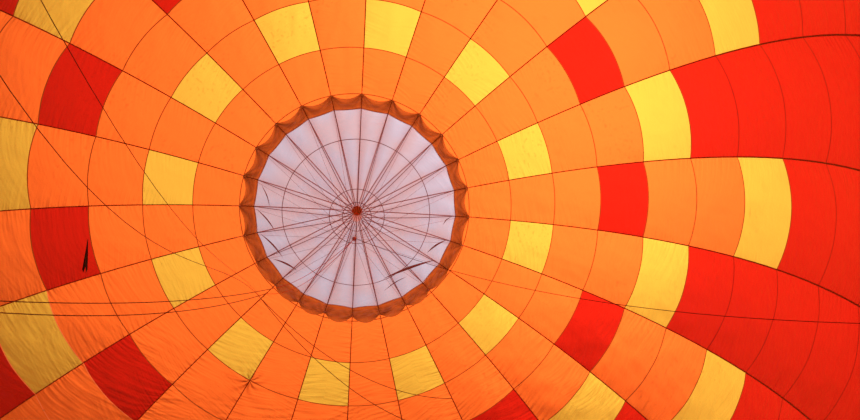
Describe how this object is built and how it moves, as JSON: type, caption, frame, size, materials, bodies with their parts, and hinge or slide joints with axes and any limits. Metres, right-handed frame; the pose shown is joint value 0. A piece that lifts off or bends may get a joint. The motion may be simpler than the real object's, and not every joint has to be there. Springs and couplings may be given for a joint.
{
  "type": "hot air balloon envelope",
  "caption": "Envelope of a hot air balloon: bulging fabric gores between load tapes, with a sliding parachute valve at the crown and flying wires down to karabiners.",
  "frame": {"origin": "on the envelope's axis, in the plane of its widest ring, where the air holds it up", "axes": "+Z along the axis towards the crown, +X through one load tape, Y across"},
  "size_m": [17.3868, 17.3868, 17.8184],
  "materials": {
    "fabric_red": "coated ripstop nylon, satin",
    "fabric_orange": "coated ripstop nylon, satin",
    "fabric_yellow": "coated ripstop nylon, satin",
    "fabric_valve": "coated nylon, satin",
    "mouth_band": "heat resistant woven fabric, matt",
    "load_tape": "woven webbing, matt",
    "cord": "braided line, matt",
    "ring_alloy": "turned, satin",
    "steel": "forged and polished",
    "wire": "stranded stainless rope",
    "control_line": "braided control line, matt",
    "centring_line": "thin braided line, matt",
    "telltale": "dark nylon strip, satin"
  },
  "bodies": {
    "envelope": {"gore_01": "fabric_red", "gore_02": "fabric_red", "gore_03": "fabric_red", "gore_04": "fabric_red", "gore_05": "fabric_red", "gore_06": "fabric_red", "gore_07": "fabric_red", "gore_08": "fabric_red", "gore_09": "fabric_red", "gore_10": "fabric_red", "gore_11": "fabric_red", "gore_12": "fabric_red", "gore_13": "fabric_red", "gore_14": "fabric_red", "gore_15": "fabric_red", "gore_16": "fabric_red", "gore_17": "fabric_red", "gore_18": "fabric_red", "gore_19": "fabric_red", "gore_20": "fabric_red", "gore_21": "fabric_red", "gore_22": "fabric_red", "gore_23": "fabric_red", "gore_24": "fabric_red", "load_tapes": "load_tape", "crown_tapes": "load_tape", "crown_ring": "ring_alloy", "flying_wires_1": "wire", "karabiner_1": "steel", "flying_wires_2": "wire", "karabiner_2": "steel", "flying_wires_3": "wire", "karabiner_3": "steel", "flying_wires_4": "wire", "karabiner_4": "steel"},
    "parachute": {"parachute": "fabric_valve", "shroud_lines": "cord", "pulley_block": "steel"},
    "sheave": {"pulley_sheave": "ring_alloy"},
    "gate_1": {"karabiner_gate_1": "steel"},
    "gate_2": {"karabiner_gate_2": "steel"},
    "gate_3": {"karabiner_gate_3": "steel"},
    "gate_4": {"karabiner_gate_4": "steel"}
  },
  "joints": [
    {"name": "parachute_slide", "type": "slide", "parent": "envelope", "child": "parachute", "axis": [0, 0, -1], "range_m": [0, 1], "stiffness_N_per_m": 40, "springref_m": -4},
    {"name": "sheave_turn", "type": "hinge", "parent": "parachute", "child": "sheave", "pos_m": [0, 0, 0.0404], "axis": [-0.5, -0.866, 0], "continuous": true},
    {"name": "gate_1_swing", "type": "hinge", "parent": "envelope", "child": "gate_1", "pos_m": [0.64782, 0.47483, -11.9624], "axis": [0, -1, 0], "range_deg": [0, 25], "stiffness_Nm_per_rad": 0.002, "springref_deg": -28.65},
    {"name": "gate_2_swing", "type": "hinge", "parent": "envelope", "child": "gate_2", "pos_m": [-0.44583, 0.61882, -11.9624], "axis": [0, -1, 0], "range_deg": [0, 25], "stiffness_Nm_per_rad": 0.002, "springref_deg": -28.65},
    {"name": "gate_3_swing", "type": "hinge", "parent": "envelope", "child": "gate_3", "pos_m": [-0.58982, -0.47483, -11.9624], "axis": [0, -1, 0], "range_deg": [0, 25], "stiffness_Nm_per_rad": 0.002, "springref_deg": -28.65},
    {"name": "gate_4_swing", "type": "hinge", "parent": "envelope", "child": "gate_4", "pos_m": [0.50383, -0.61882, -11.9624], "axis": [0, -1, 0], "range_deg": [0, 25], "stiffness_Nm_per_rad": 0.002, "springref_deg": -28.65}
  ]
}
